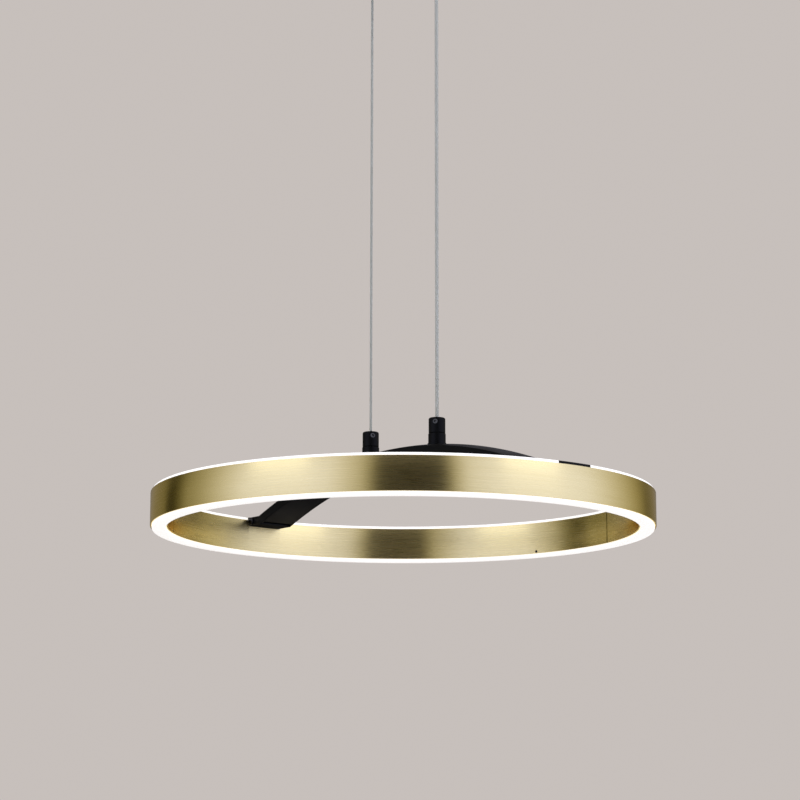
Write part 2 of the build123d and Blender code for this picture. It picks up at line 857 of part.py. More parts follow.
def gripper_stud(name):
    x = gripper_x(name)
    body = rod(gripper_radius, stud_low, canopy_low, x)
    body += rod(stud_radius, canopy_low, stud_top, x)
    body += rod(plug_radius, plug_low, stud_low, x)
    return body - rod(GRIPPED[name][0] + wire_fit, plug_low, stud_top, x)


def gripper_nuts():
    high = canopy_floor + stud_nut_thickness
    return group([hexagon(stud_nut_width, canopy_floor, high, gripper_x(name))
                  - rod(stud_radius + screw_fit, canopy_floor, high, gripper_x(name)) for name in SIDES])


def gripper_cup(name):
    x = gripper_x(name)
    body = rod(gripper_radius, cup_low, stud_low, x)
    body = fillet(body.faces().sort_by(Axis.Z)[0].edges(), terminal_cap_round)
    body -= rod(chamber_radius, cup_deck, stud_low, x)
    return body - rod(nozzle_radius + nozzle_fit, cup_low, cup_deck, x)


def gripper_seat(name):
    x = gripper_x(name)
    high = seat_low + seat_height
    body = rod(chamber_radius - chamber_fit, seat_low, high, x)
    return body - taper(seat_mouth_radius, seat_radius(high), seat_low, high, x)


def nozzle(name):
    x = gripper_x(name)
    core, ball = GRIPPED[name]
    nose_top = ball_ring(name)[1] - ball - ball_gap
    body = rod(nozzle_radius, nozzle_low, nozzle_deck, x)
    body += rod(chamber_radius - nozzle_flange_fit, cup_deck + nozzle_seat_gap, nozzle_deck, x)
    body += rod(seat_mouth_radius - nozzle_nose_fit, nozzle_deck, nose_top, x)
    body -= rod(core + wire_fit, nozzle_low, nose_top, x)
    return body - taper(core + wire_fit + nozzle_flare, core + wire_fit, nozzle_low, throat_z, x)


def gripper_balls(name):
    radius, height = ball_ring(name)
    ball = Pos(radius, 0, height) * Sphere(GRIPPED[name][1])
    return group([Pos(gripper_x(name), 0, 0) * around(ball, 360 * i / ball_count) for i in range(ball_count)])


def gripper_spring(name):
    """Compression spring between the balls and the stud's plug."""
    low = ball_ring(name)[1] + GRIPPED[name][1] + spring_gap + spring_wire_radius
    height = plug_low - spring_gap - spring_wire_radius - low
    coil = Helix(height / spring_turns, height, spring_radius)
    wire = Plane(origin=coil @ 0, z_dir=coil % 0) * Circle(spring_wire_radius)
    return Pos(gripper_x(name), 0, low) * sweep(wire, coil, is_frenet=True)


def suspension_wire_tail():
    return rod(wire_radius, throat_z, tail_top, -terminal_x)


def wire_stop():
    """Crimped stop that keeps the wire's end above its stud."""
    return tube(stop_radius, wire_radius + screw_fit, tail_top - stop_length, tail_top, -terminal_x)


def power_cable_tail():
    """Cable from its gripper up through the stud and over to the driver."""
    points = [(terminal_x, 0, throat_z), (terminal_x, 0, lead_z), (output_x, tail_turn_y, lead_z),
              (output_x, driver_front - driver_wall, lead_z)]
    return cable(points, cable_radius, tail_bends)


def main():
    os.makedirs("parts", exist_ok=True)
    single = [
        ring_profile, ring_joiner, joiner_rivets, lower_diffuser, diffuser_screws, lower_leds, upper_leds,
        bridge_shell, bridge_cover, bridge_cover_screws, foot_screws, side_screws, terminal_set_screws,
        terminal_nuts, wire_ferrule, suspension_wire, power_cable, lamp_leads, canopy_cover, ceiling_bracket,
        cover_screws, driver_pad, driver_housing, driver_lid, driver_board, terminal_block,
        terminal_block_screws, mains_leads, gripper_nuts, suspension_wire_tail, wire_stop, power_cable_tail,
    ]
    for make in single:
        save(make.__name__, make())
    save("lower_led_board", led_board(web_low - board_thickness))
    for place, solid in zip(("front", "back"), halves(led_board(web_high))):
        save(f"upper_led_board_{place}", solid)
    for place, solid in zip(("front", "back"), halves(diffuser(rim_high, 1))):
        save(f"upper_diffuser_{place}", solid)
    for name, side in SIDES.items():
        save(f"{name}_foot", foot(side))
        for make in (terminal_base, terminal_cap, gripper_stud, gripper_cup, gripper_seat, gripper_balls,
                     gripper_spring, nozzle):
            save(f"{name}_{make.__name__}", make(name))


main()
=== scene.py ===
import json
import math
import bmesh
import bpy
from mathutils import Matrix, Quaternion, Vector


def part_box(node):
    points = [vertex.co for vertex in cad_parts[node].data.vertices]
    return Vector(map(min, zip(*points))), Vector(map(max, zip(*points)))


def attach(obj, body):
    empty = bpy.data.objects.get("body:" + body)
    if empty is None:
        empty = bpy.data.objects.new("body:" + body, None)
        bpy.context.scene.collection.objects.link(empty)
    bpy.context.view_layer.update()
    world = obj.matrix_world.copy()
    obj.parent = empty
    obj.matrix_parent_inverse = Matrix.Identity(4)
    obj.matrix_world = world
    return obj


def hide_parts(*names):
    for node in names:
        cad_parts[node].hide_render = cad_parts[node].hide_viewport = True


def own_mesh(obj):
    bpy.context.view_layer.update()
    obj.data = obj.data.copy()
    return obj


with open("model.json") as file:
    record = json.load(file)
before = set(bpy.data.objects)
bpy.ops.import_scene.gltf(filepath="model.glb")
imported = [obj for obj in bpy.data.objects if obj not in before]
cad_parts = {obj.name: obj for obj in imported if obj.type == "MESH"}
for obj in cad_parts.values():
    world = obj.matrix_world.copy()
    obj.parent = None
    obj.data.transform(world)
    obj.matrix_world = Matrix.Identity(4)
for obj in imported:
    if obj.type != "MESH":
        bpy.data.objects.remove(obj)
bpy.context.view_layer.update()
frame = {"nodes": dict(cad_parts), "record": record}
cad = frame["nodes"]
scene = bpy.context.scene
scene.view_settings.view_transform = "Standard"
print("frame loaded with", len(cad), "nodes")

fullTurn = 2.0 * math.pi
smoothBelow = 30.0                     # degrees between two faces that shade as one
endHeight = 0.007                      # m, of the bridge's sides and flat ends

ringLow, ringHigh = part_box("ring_profile")
ringRadius = ringHigh.x
ringBottom = ringLow.z
ringTop = ringHigh.z
ringLevel = (ringBottom + ringTop) / 2
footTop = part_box("left_foot")[1].z
footLow = footTop - endHeight


def linked(name, data):
    holder = bpy.data.objects.new(name, data)
    scene.collection.objects.link(holder)
    return holder


def polar(radius, degrees, height):
    angle = math.radians(degrees)
    return Vector((radius * math.cos(angle), radius * math.sin(angle), height))


# camera: a little below the ring, and turned away from the line of the bridge

lensView = {
    "lens": 113.18,      # mm, on the sensor width below
    "sensor": 36.0,
    "distance": 1.9781,  # m, from the ring's axis
    "below": 0.2756,     # m, under the ring's lower rim
    "turn": 39.6,        # degrees from +X towards -Y
    "pitch": 10.87,
    "yaw": 0.078,
    "roll": 0.08,
}


def aroundRing(degrees, distance, height):       # degrees to the right of the camera
    return polar(distance, degrees - lensView["turn"], height)


def makeCamera():
    data = bpy.data.cameras.new("camera")
    data.lens = lensView["lens"]
    data.sensor_width = lensView["sensor"]
    camera = linked("camera", data)
    camera.location = aroundRing(0.0, lensView["distance"], ringBottom - lensView["below"])
    heading = math.radians(180.0 - lensView["turn"] + lensView["yaw"])
    pitch = math.radians(lensView["pitch"])
    ahead = math.cos(pitch)
    look = Vector((math.cos(heading) * ahead, math.sin(heading) * ahead, math.sin(pitch)))
    roll = Quaternion((0.0, 0.0, 1.0), math.radians(lensView["roll"]))
    camera.rotation_mode = "QUATERNION"
    camera.rotation_quaternion = look.to_track_quat("-Z", "Y") @ roll
    scene.camera = camera


makeCamera()
print("camera set")


# helpers for all node trees

def plug(tree, socket, source):
    if isinstance(source, bpy.types.NodeSocket):
        tree.links.new(source, socket)
    else:
        socket.default_value = source


def plugAll(tree, node, **sources):
    for label, source in sources.items():
        plug(tree, node.inputs[label.replace("_", " ")], source)


def reckon(tree, operation, *values):
    node = tree.nodes.new("ShaderNodeMath")
    node.operation = operation
    for socket, value in zip(node.inputs, values):
        plug(tree, socket, value)
    return node.outputs[0]


# helpers for finishes

def startFinish(name):
    finish = bpy.data.materials.new(name)
    finish.use_nodes = True
    tree = finish.node_tree
    return finish, tree, tree.nodes["Principled BSDF"]


def coordinate(tree, kind):
    return tree.nodes.new("ShaderNodeTexCoord").outputs[kind]


def grain(tree, scale, detail=2.0):
    stretch = tree.nodes.new("ShaderNodeMapping")
    plugAll(tree, stretch, Vector=coordinate(tree, "Object"), Scale=scale)
    noise = tree.nodes.new("ShaderNodeTexNoise")
    plugAll(tree, noise, Vector=stretch.outputs["Vector"], Scale=1.0, Detail=detail)
    return noise.outputs["Fac"]


def spread(tree, value, low, high, start=0.3, end=0.7):      # most noise lies between 0.3 and 0.7
    fit = tree.nodes.new("ShaderNodeMapRange")
    plugAll(tree, fit, Value=value, From_Min=start, From_Max=end, To_Min=low, To_Max=high)
    return fit.outputs["Result"]


def tint(tree, factor, first, second):
    mix = tree.nodes.new("ShaderNodeMix")
    mix.data_type = "RGBA"
    plug(tree, mix.inputs[0], factor)
    for index, colour in ((6, first), (7, second)):          # the node's two colour sockets
        plain = isinstance(colour, tuple)
        plug(tree, mix.inputs[index], (*colour, 1.0) if plain else colour)
    return mix.outputs[2]


def relief(tree, height, strength, distance):
    bump = tree.nodes.new("ShaderNodeBump")
    plugAll(tree, bump, Height=height, Strength=strength, Distance=distance)
    return bump.outputs["Normal"]


# brass of the ring, brushed all round, and painted shade that darkens the groove where the ring's two ends
# meet

brassLook = {
    "dark": (0.81, 0.68, 0.325), "light": (0.87, 0.745, 0.38), "edgeTint": (0.92, 0.79, 0.47),
    "streaks": (14.0, 14.0, 900.0), "hairlines": (45.0, 45.0, 5200.0), "hairDetail": 3.0,
    "hairStrength": 0.055, "hairDepth": 0.00004, "smooth": 0.25, "rough": 0.32,
    "brushed": 0.94, "brushTurn": 0.25,
}
# the seam's groove and its painted shade: the shade's colour, the distance from the seam's middle where it
# is full, and where it has faded out
seam = {
    "angle": 75.8, "gap": 0.0004, "depth": 0.001,
    "dark": (0.36, 0.29, 0.11), "core": 0.0004, "fade": 0.0013,
}


# mask of the seam's painted shade: 0 in and beside the groove on the seam's side of the ring, 1 elsewhere
def seamShadeMask(tree):
    place = coordinate(tree, "Object")
    angle = math.radians(seam["angle"])
    reach = []
    for axis in ((-math.sin(angle), math.cos(angle), 0.0), (math.cos(angle), math.sin(angle), 0.0)):
        node = tree.nodes.new("ShaderNodeVectorMath")
        node.operation = "DOT_PRODUCT"
        plug(tree, node.inputs[0], place)
        plug(tree, node.inputs[1], axis)
        reach.append(node.outputs["Value"])
    across, along = reach
    unshaded = spread(tree, reckon(tree, "ABSOLUTE", across), 0.0, 1.0, seam["core"], seam["fade"])
    return reckon(tree, "MAXIMUM", unshaded, reckon(tree, "LESS_THAN", along, 0.0))


def brushedBrass():
    finish, tree, shader = startFinish("brushedBrass")
    hairlines = grain(tree, brassLook["hairlines"], brassLook["hairDetail"])
    brass = tint(tree, grain(tree, brassLook["streaks"]), brassLook["dark"], brassLook["light"])
    around = tree.nodes.new("ShaderNodeTangent")
    around.direction_type = "RADIAL"
    around.axis = "Z"
    # painted shade: the brass is darkened to the seam's dark colour in and beside the groove
    plugAll(tree, shader, Base_Color=tint(tree, seamShadeMask(tree), seam["dark"], brass),
            Roughness=spread(tree, hairlines, brassLook["smooth"], brassLook["rough"]),
            Normal=relief(tree, hairlines, brassLook["hairStrength"], brassLook["hairDepth"]),
            Tangent=around.outputs["Tangent"], Metallic=1.0, Specular_Tint=(*brassLook["edgeTint"], 1.0),
            Anisotropic=brassLook["brushed"], Anisotropic_Rotation=brassLook["brushTurn"])
    return finish


# opal of the diffusers, lit from inside, and the chips that light it

opalLook = {
    "dark": (0.93, 0.92, 0.9), "light": (0.97, 0.965, 0.95), "clouds": (60.0, 60.0, 60.0),
    "smooth": 0.3, "rough": 0.4, "glow": (1.0, 0.96, 0.88), "strength": 0.7,
}
chipLook = {
    "dark": (0.9, 0.78, 0.4), "light": (0.96, 0.86, 0.52), "marks": (900.0, 900.0, 900.0),
    "glow": (1.0, 0.93, 0.75), "strength": 1.5,
}


def opalGlow():
    finish, tree, shader = startFinish("opalGlow")
    clouds = grain(tree, opalLook["clouds"])
    plugAll(tree, shader, Base_Color=tint(tree, clouds, opalLook["dark"], opalLook["light"]),
            Roughness=spread(tree, clouds, opalLook["smooth"], opalLook["rough"]),
            Emission_Color=(*opalLook["glow"], 1.0), Emission_Strength=opalLook["strength"])
    return finish


def litChip():
    finish, tree, shader = startFinish("litChip")
    marks = grain(tree, chipLook["marks"])
    plugAll(tree, shader, Base_Color=tint(tree, marks, chipLook["dark"], chipLook["light"]),
            Emission_Color=(*chipLook["glow"], 1.0), Emission_Strength=chipLook["strength"])
    return finish


# black coat of the bridge and the canopy, drier on the faces that look down, which got less spray

blackLook = {
    "dark": (0.0020, 0.0021, 0.0023), "light": (0.0040, 0.0042, 0.0045), "specular": 0.1,
    "patches": (45.0, 45.0, 45.0), "patchDetail": 3.0, "smooth": 0.40, "rough": 0.52,
    "peel": (1400.0, 1400.0, 1400.0), "peelStrength": 0.3, "peelDepth": 0.00008,
    "dryRough": 0.95, "dryFull": -0.98, "dryStart": -0.9,      # z of the face's normal
}


def satinBlack():
    finish, tree, shader = startFinish("satinBlack")
    peel = grain(tree, blackLook["peel"])
    patches = grain(tree, blackLook["patches"], blackLook["patchDetail"])
    facing = tree.nodes.new("ShaderNodeSeparateXYZ")
    plug(tree, facing.inputs[0], coordinate(tree, "Normal"))
    dryCoat = spread(tree, facing.outputs["Z"], blackLook["dryRough"], 0.0,
                     blackLook["dryFull"], blackLook["dryStart"])
    satin = spread(tree, patches, blackLook["smooth"], blackLook["rough"])
    plugAll(tree, shader, Base_Color=tint(tree, patches, blackLook["dark"], blackLook["light"]),
            Roughness=reckon(tree, "MAXIMUM", satin, dryCoat),
            Normal=relief(tree, peel, blackLook["peelStrength"], blackLook["peelDepth"]),
            Specular_IOR_Level=blackLook["specular"])
    return finish


# clear sheaths of the wire and the cable

sheathLook = {"waves": (300.0, 300.0, 90.0), "smooth": 0.28, "rough": 0.36, "ior": 1.46}


def sheathFinish(name, dark, light, clear):
    finish, tree, shader = startFinish(name)
    waves = grain(tree, sheathLook["waves"])
    plugAll(tree, shader, Base_Color=tint(tree, waves, dark, light),
            Roughness=spread(tree, waves, sheathLook["smooth"], sheathLook["rough"]),
            Transmission_Weight=clear, IOR=sheathLook["ior"])
    return finish


# plain metals and plastics with fine marks: two colours, two roughnesses, scale and depth of the marks

marking = {"detail": 3.0, "strength": 0.15}


def markedFinish(name, metal, dark, light, smooth, rough, scale, depth):
    finish, tree, shader = startFinish(name)
    marks = grain(tree, scale, marking["detail"])
    plugAll(tree, shader, Base_Color=tint(tree, marks, dark, light),
            Roughness=spread(tree, marks, smooth, rough),
            Normal=relief(tree, marks, marking["strength"], depth), Metallic=metal)
    return finish


finishes = {
    "brass_tone": brushedBrass(),
    "opal": opalGlow(),
    "led_chip": litChip(),
    "satin_black": satinBlack(),
    "cable_sheath": sheathFinish("cableSheath", (0.72, 0.73, 0.60), (0.78, 0.79, 0.66), 0.25),
    "black_screw": markedFinish("blackenedSteel", 1.0, (0.016, 0.016, 0.017), (0.034, 0.034, 0.036),
                                0.14, 0.24, (700.0, 700.0, 700.0), 0.00004),
    "bright_steel": markedFinish("nickelSteel", 1.0, (0.6, 0.6, 0.61), (0.74, 0.74, 0.74),
                                 0.16, 0.3, (500.0, 500.0, 900.0), 0.00003),
    "zinc_steel": markedFinish("zincSteel", 1.0, (0.46, 0.48, 0.5), (0.68, 0.69, 0.7),
                               0.28, 0.5, (160.0, 160.0, 160.0), 0.00005),
    "wire_steel": markedFinish("wireSteel", 1.0, (0.5, 0.5, 0.51), (0.7, 0.7, 0.7),
                               0.22, 0.36, (900.0, 900.0, 300.0), 0.00003),
    "lead_sheath": markedFinish("leadSheath", 0.0, (0.36, 0.06, 0.05), (0.46, 0.09, 0.075),
                                0.3, 0.45, (400.0, 400.0, 400.0), 0.00003),
    "strip_board": markedFinish("stripBoard", 0.0, (0.8, 0.8, 0.78), (0.88, 0.88, 0.86),
                                0.35, 0.5, (300.0, 300.0, 300.0), 0.00003),
    "driver_case": markedFinish("driverCase", 0.0, (0.74, 0.74, 0.73), (0.82, 0.82, 0.81),
                                0.4, 0.55, (600.0, 600.0, 600.0), 0.00005),
    "driver_circuit": markedFinish("driverCircuit", 0.0, (0.03, 0.14, 0.06), (0.05, 0.2, 0.09),
                                   0.3, 0.45, (250.0, 250.0, 250.0), 0.00004),
    "foam_pad": markedFinish("foamPad", 0.0, (0.03, 0.03, 0.03), (0.08, 0.08, 0.08),
                             0.8, 0.95, (1200.0, 1200.0, 1200.0), 0.0002),
    "nylon": markedFinish("nylonBlock", 0.0, (0.72, 0.72, 0.68), (0.8, 0.8, 0.76),
                          0.38, 0.52, (500.0, 500.0, 500.0), 0.00004),
}
wireCoat = sheathFinish("wireCoat", (0.60, 0.615, 0.50), (0.68, 0.695, 0.57), 0.2)
darkNickel = markedFinish("darkNickel", 1.0, (0.06, 0.06, 0.058), (0.13, 0.13, 0.126),
                          0.25, 0.4, (600.0, 600.0, 600.0), 0.00003)
print("finishes made:", len(finishes) + 2)


# helpers for shapes that nodes grow

def newTree(name, sockets):
    tree = bpy.data.node_groups.new(name, "GeometryNodeTree")
    for label, kind in sockets:
        tree.interface.new_socket(label, in_out="INPUT", socket_type="NodeSocket" + kind)
    tree.interface.new_socket("Geometry", in_out="OUTPUT", socket_type="NodeSocketGeometry")
    return tree, tree.nodes.new("NodeGroupInput").outputs


def step(tree, kind, options=None, **sources):
    node = tree.nodes.new("GeometryNode" + kind)
    for option, value in (options or {}).items():
        setattr(node, option, value)
    plugAll(tree, node, **sources)
    return node.outputs[0]


def fromObject(tree, source):
    node = tree.nodes.new("GeometryNodeObjectInfo")
    plug(tree, node.inputs["Object"], source)
    return node.outputs["Geometry"]


def shareOfTurn(tree, count):
    share = reckon(tree, "DIVIDE", step(tree, "InputIndex"), count)
    return reckon(tree, "MULTIPLY", share, fullTurn)


def carve(tree, shape, tool, overlapping=False):
    return step(tree, "MeshBoolean", {"operation": "DIFFERENCE", "solver": "EXACT"},
                Mesh_1=shape, Mesh_2=tool, Self_Intersection=overlapping)


def fuse(tree, *shapes):
    node = tree.nodes.new("GeometryNodeMeshBoolean")
    node.operation = "UNION"
    node.solver = "EXACT"
    node.inputs["Self Intersection"].default_value = True    # what is added may overlap itself
    for shape in shapes:
        tree.links.new(shape, node.inputs["Mesh 2"])
    return node.outputs[0]


def closeTree(tree, shape, finish):
    shape = step(tree, "RealizeInstances", Geometry=shape)
    shape = step(tree, "SetMaterial", Geometry=shape, Material=finish)
    end = tree.nodes.new("NodeGroupOutput")
    tree.links.new(shape, end.inputs[0])


def shadeByAngle(mesh):
    for face in mesh.polygons:
        face.use_smooth = True
    mesh.set_sharp_from_angle(angle=math.radians(smoothBelow))


def grow(name, tree, helpers=(), **values):
    holder = linked(name + ".tree", bpy.data.meshes.new(name + ".tree"))
    modifier = holder.modifiers.new("shape", "NODES")
    modifier.node_group = tree
    for item in tree.interface.items_tree:
        key = item.name.replace(" ", "_")
        if item.in_out == "INPUT" and key in values:
            modifier[item.identifier] = values[key]
    bpy.context.view_layer.update()
    grown = holder.evaluated_get(bpy.context.evaluated_depsgraph_get())
    mesh = bpy.data.meshes.new_from_object(grown)
    mesh.name = name
    piece = linked(name, mesh)
    for spent in (holder, *helpers):
        bpy.data.objects.remove(spent)
    shadeByAngle(mesh)
    return piece


def curveLine(name, kind, places):
    data = bpy.data.curves.new(name, "CURVE")
    data.dimensions = "3D"
    line = data.splines.new(kind)
    line.points.add(len(places) - 1)
    for point, place in zip(line.points, places):
        point.co = (*place, 1.0)
    return linked(name, data), line


def sectionCurve(name, corners):
    following = corners[1:] + corners[:1]
    area = sum(a[0] * b[1] - b[0] * a[1] for a, b in zip(corners, following))
    if area > 0.0:                       # clockwise, so that the swept faces point outwards
        corners = corners[::-1]
    section, line = curveLine(name, "POLY", [(out, -up, 0.0) for out, up in corners])
    line.use_cyclic_u = True
    return section


# helpers for the shapes that nodes cut with or add

def meshPiece(name, shape):
    bmesh.ops.recalc_face_normals(shape, faces=shape.faces)
    mesh = bpy.data.meshes.new(name)
    shape.to_mesh(mesh)
    shape.free()
    shadeByAngle(mesh)
    return linked(name, mesh)


def toolShape(name, build):
    shape = bmesh.new()
    build(shape)
    return meshPiece(name, shape)


def addBox(shape, low, high, bevel=0.0):
    low, high = Vector(low), Vector(high)
    place = Matrix.Translation((low + high) / 2) @ Matrix.Diagonal((*(high - low), 1.0))
    made = bmesh.ops.create_cube(shape, size=1.0, matrix=place)
    if bevel:
        edges = list({edge for vert in made["verts"] for edge in vert.link_edges})
        bmesh.ops.bevel(shape, geom=edges, offset=bevel, segments=2, profile=0.5, affect="EDGES")


def addRod(shape, start, end, radius, sides):
    start, end = Vector(start), Vector(end)
    turn = (end - start).to_track_quat("Z", "Y").to_matrix().to_4x4()
    place = Matrix.Translation((start + end) / 2) @ turn
    bmesh.ops.create_cone(shape, cap_ends=True, segments=sides, radius1=radius, radius2=radius,
                          depth=(end - start).length, matrix=place)


def addPrism(shape, *layers):
    bottom, top = ([shape.verts.new(corner) for corner in layer] for layer in layers)
    shape.faces.new(bottom)
    shape.faces.new(reversed(top))
    for index in range(len(bottom)):
        shape.faces.new((bottom[index - 1], bottom[index], top[index], top[index - 1]))


def finishPiece(piece, body, slot, *nodes):
    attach(piece, body)
    if nodes:
        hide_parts(*nodes)


# wire and cable: twisted cores in a clear sheath

def routeTree():
    tree, given = newTree("coresOnRoute", [
        ("Route", "Object"), ("Cores", "Int"), ("Lay Radius", "Float"), ("Core Radius", "Float"),
        ("Pitch", "Float"), ("Sample Step", "Float"), ("Sides", "Int"), ("Finish", "Material"),
    ])
    path = fromObject(tree, given["Route"])
    path = step(tree, "ResampleCurve", {"mode": "LENGTH"}, Curve=path, Length=given["Sample Step"])
    along = tree.nodes.new("GeometryNodeSplineParameter").outputs["Length"]
    turns = reckon(tree, "DIVIDE", along, given["Pitch"])
    path = step(tree, "SetCurveTilt", Curve=path, Tilt=reckon(tree, "MULTIPLY", turns, fullTurn))
    angle = shareOfTurn(tree, given["Cores"])
    spot = tree.nodes.new("ShaderNodeCombineXYZ")
    for axis, operation in (("X", "COSINE"), ("Y", "SINE")):
        offset = reckon(tree, "MULTIPLY", reckon(tree, operation, angle), given["Lay Radius"])
        plug(tree, spot.inputs[axis], offset)
    spots = step(tree, "Points", Count=given["Cores"], Position=spot.outputs[0])
    core = step(tree, "CurvePrimitiveCircle", Resolution=given["Sides"], Radius=given["Core Radius"])
    cores = step(tree, "InstanceOnPoints", Points=spots, Instance=core)
    cores = step(tree, "RealizeInstances", Geometry=cores)
    shape = step(tree, "CurveToMesh", Curve=path, Profile_Curve=cores, Fill_Caps=True)
    closeTree(tree, shape, given["Finish"])
    return tree


coresOnRoute = routeTree()
wireSpec = {
    "node": "suspension_wire", "sheath": "wireSheath", "core": "wireStrands", "slot": "wire_steel",
    "coat": wireCoat, "diameter": 0.0020,
    "cores": 6, "layRadius": 0.00042, "coreRadius": 0.00021, "pitch": 0.009,
}
cableSpec = {
    "node": "power_cable", "sheath": "cableSheath", "core": "cableCores", "slot": "cable_sheath",
    "coat": finishes["cable_sheath"], "diameter": 0.0028,
    "cores": 2, "layRadius": 0.00052, "coreRadius": 0.0005, "pitch": 0.022,
}
feed = {
    "joint": "height_adjust", "travel": 0.25,
    "leadIn": 6.0,       # of the route's points, in diameters
    "curveSteps": 32, "sheathStep": 0.004, "sheathSides": 20, "coreSides": 7,
    "coreSteps": 14.0,   # in one turn of the cores
}


def routeCurve(name, points):
    route, line = curveLine(name, "NURBS", points)
    line.order_u = 3
    line.use_endpoint_u = True
    route.data.resolution_u = feed["curveSteps"]
    return route


def hangWire(spec):
    low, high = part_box(spec["node"])
    x = (low.x + high.x) / 2
    leadIn = feed["leadIn"] * spec["diameter"]
    heights = (high.z, high.z - leadIn, low.z + leadIn, low.z)
    route = routeCurve(spec["node"] + ".route", [(x, 0.0, height) for height in heights])
    hung = route.evaluated_get(bpy.context.evaluated_depsgraph_get())
    traced = bpy.data.meshes.new_from_object(hung)
    bpy.data.meshes.remove(traced)
    sheath = grow(spec["sheath"], coresOnRoute, Route=route, Cores=1, Lay_Radius=0.0,
                  Core_Radius=spec["diameter"] / 2, Pitch=1.0, Sample_Step=feed["sheathStep"],
                  Sides=feed["sheathSides"], Finish=spec["coat"])
    core = grow(spec["core"], coresOnRoute, helpers=(route,), Route=route, Cores=spec["cores"],
                Lay_Radius=spec["layRadius"], Core_Radius=spec["coreRadius"], Pitch=spec["pitch"],
                Sample_Step=spec["pitch"] / feed["coreSteps"], Sides=feed["coreSides"],
                Finish=finishes["wire_steel"])
    finishPiece(sheath, "wires", spec["slot"], spec["node"])
    finishPiece(core, "wires", "wire_steel")
    for piece in (sheath, core):
        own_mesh(piece)


for wire in (wireSpec, cableSpec):
    hangWire(wire)
print("wire and cable hung")


# ring and diffusers: sections swept round a circle, with cuts for the feet, the seam and the small screws

def ringTree():
    tree, given = newTree("sectionRoundRing", [
        ("Section", "Object"), ("Cuts", "Object"), ("Path Radius", "Float"), ("Segments", "Int"),
        ("Corner Round", "Float"), ("Round Steps", "Int"), ("Finish", "Material"),
    ])
    path = step(tree, "CurvePrimitiveCircle", Resolution=given["Segments"], Radius=given["Path Radius"])
    path = step(tree, "SetCurveNormal", {"mode": "Z_UP"}, Curve=path)
    section = step(tree, "FilletCurve", {"mode": "POLY"}, Curve=fromObject(tree, given["Section"]),
                   Count=given["Round Steps"], Radius=given["Corner Round"], Limit_Radius=True)
    shape = step(tree, "CurveToMesh", Curve=path, Profile_Curve=section)
    shape = carve(tree, shape, fromObject(tree, given["Cuts"]))
    closeTree(tree, shape, given["Finish"])
    return tree


sectionRoundRing = ringTree()
ringSpec = {
    "width": 0.014, "wall": 0.0012, "web": 0.0016, "round": 0.00025, "roundSteps": 2, "segments": 420,
    "notchHalf": 0.0162, "notchGap": 0.0003, "notchReach": 0.171, "notchEnd": 0.1876,
    "screwAngle": 102.9, "screwCount": 3, "screwRadius": 0.00115, "screwRise": 0.0015, "screwSides": 20,
}
diffuserSpec = {
    "fit": 0.0002, "wall": 0.0015, "depth": 0.005, "round": 0.0009, "roundSteps": 4, "segments": 360,
}
# how far the cutting shapes reach past what they cut
cutPast = {"notch": 0.01, "drillStart": 0.003, "drillEnd": 0.002, "groove": 0.001, "footGap": 0.02}
ringInner = ringRadius - ringSpec["width"]
ringPath = ringRadius - ringSpec["width"] / 2


def ringCuts(shape):
    half, reach, end = ringSpec["notchHalf"], ringSpec["notchReach"], ringSpec["notchEnd"]
    floor, top = footLow - ringSpec["notchGap"], ringTop + cutPast["notch"]
    addBox(shape, (reach, -half, floor), (end, half, top))
    addBox(shape, (-end, -half, floor), (-reach, half, top))

    drillStart = ringInner - cutPast["drillStart"]
    drillEnd = ringInner + ringSpec["wall"] + cutPast["drillEnd"]
    height = ringBottom + ringSpec["screwRise"]
    for index in range(ringSpec["screwCount"]):
        degrees = ringSpec["screwAngle"] + 360.0 * index / ringSpec["screwCount"]
        addRod(shape, polar(drillStart, degrees, height), polar(drillEnd, degrees, height),
               ringSpec["screwRadius"], ringSpec["screwSides"])

    gap, depth, past = seam["gap"] / 2, seam["depth"], cutPast["groove"]
    turn = Matrix.Rotation(math.radians(seam["angle"]), 4, "Z")
    for near, far in ((ringInner - past, ringInner + depth), (ringRadius - depth, ringRadius + past)):
        outline = [(near, gap), (far, gap), (far, -gap), (near, -gap)]
        addPrism(shape, *([turn @ Vector((*corner, level)) for corner in outline]
                          for level in (ringBottom - past, ringTop + past)))


def footGapCut(shape):
    reach, half, past = 2 * ringRadius, ringSpec["notchHalf"], cutPast["footGap"]
    addBox(shape, (-reach, -half, ringTop - past), (reach, half, ringTop + past))


def noCut(shape):                        # lies in the ring's open middle, clear of everything
    half = 0.001
    addBox(shape, (-half, -half, ringBottom), (half, half, ringTop))


def sweepRing(name, corners, cutBuilder, spec, slot, *nodes):
    section = sectionCurve(name + ".section", corners)
    cuts = toolShape(name + ".cuts", cutBuilder)
    piece = grow(name, sectionRoundRing, helpers=(section, cuts), Section=section, Cuts=cuts,
                 Path_Radius=ringPath, Segments=spec["segments"], Corner_Round=spec["round"],
                 Round_Steps=spec["roundSteps"], Finish=finishes[slot])
    finishPiece(piece, "lamp", slot, *nodes)
    return piece


def makeRing():
    half, wall = ringSpec["width"] / 2, ringSpec["wall"]
    webLow, webHigh = ringLevel - ringSpec["web"] / 2, ringLevel + ringSpec["web"] / 2
    corners = [
        (-half, ringBottom), (wall - half, ringBottom), (wall - half, webLow), (half - wall, webLow),
        (half - wall, ringBottom), (half, ringBottom), (half, ringTop), (half - wall, ringTop),
        (half - wall, webHigh), (wall - half, webHigh), (wall - half, ringTop), (-half, ringTop),
    ]
    return sweepRing("brassRing", corners, ringCuts, ringSpec, "brass_tone", "ring_profile")


